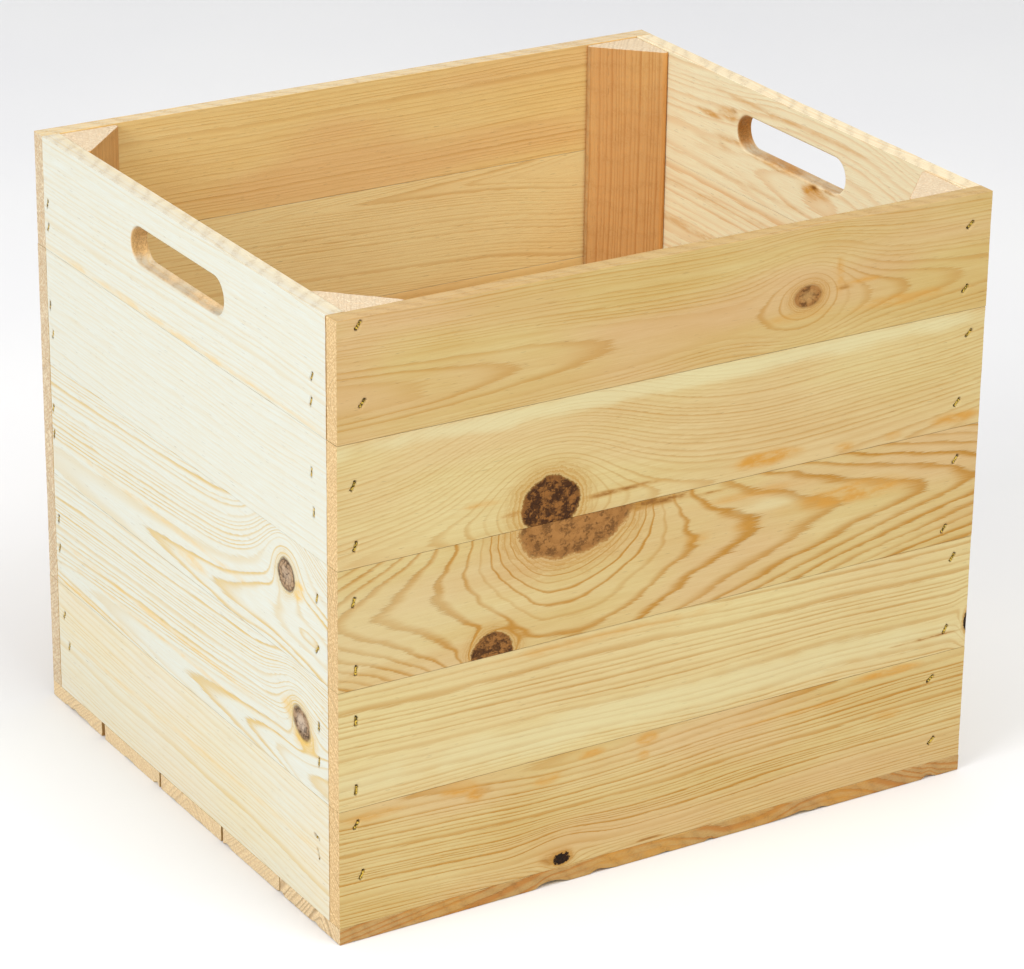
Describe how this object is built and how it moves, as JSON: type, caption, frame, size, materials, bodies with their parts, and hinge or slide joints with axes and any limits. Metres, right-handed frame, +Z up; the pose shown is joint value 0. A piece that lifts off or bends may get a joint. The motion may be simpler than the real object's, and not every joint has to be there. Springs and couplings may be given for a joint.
{
  "type": "wooden apple crate",
  "caption": "Square-sided apple crate of sawn pine boards stapled to three-cornered posts, with a slatted base and a hand slot through the top board of each short side.",
  "frame": {"origin": "centre of the footprint, on the floor under the base slats", "axes": "+X along the long front wall to the right, +Y from the front wall to the rear wall, +Z up"},
  "size_m": [0.378, 0.324, 0.326],
  "materials": {
    "wall_wood": "planed bare pine",
    "slat_wood": "rough-sawn bare pine",
    "post_wood": "sawn bare pine, redder heartwood",
    "staple_wire": "gold-lacquered wire, dulled"
  },
  "bodies": {
    "root": {"front_board_1": "wall_wood", "front_board_2": "wall_wood", "front_board_3": "wall_wood", "front_board_4": "wall_wood", "front_board_5": "wall_wood", "rear_board_1": "wall_wood", "rear_board_2": "wall_wood", "rear_board_3": "wall_wood", "rear_board_4": "wall_wood", "rear_board_5": "wall_wood", "left_board_1": "wall_wood", "left_board_2": "wall_wood", "left_board_3": "wall_wood", "left_board_4": "wall_wood", "left_board_5": "wall_wood", "right_board_1": "wall_wood", "right_board_2": "wall_wood", "right_board_3": "wall_wood", "right_board_4": "wall_wood", "right_board_5": "wall_wood", "base_slat_1": "slat_wood", "base_slat_2": "slat_wood", "base_slat_3": "slat_wood", "base_slat_4": "slat_wood", "base_slat_5": "slat_wood", "corner_post_front_left": "post_wood", "corner_post_front_right": "post_wood", "corner_post_rear_left": "post_wood", "corner_post_rear_right": "post_wood", "front_staples": "staple_wire", "rear_staples": "staple_wire", "left_staples": "staple_wire", "right_staples": "staple_wire", "base_staples": "staple_wire"}
  },
  "joints": []
}
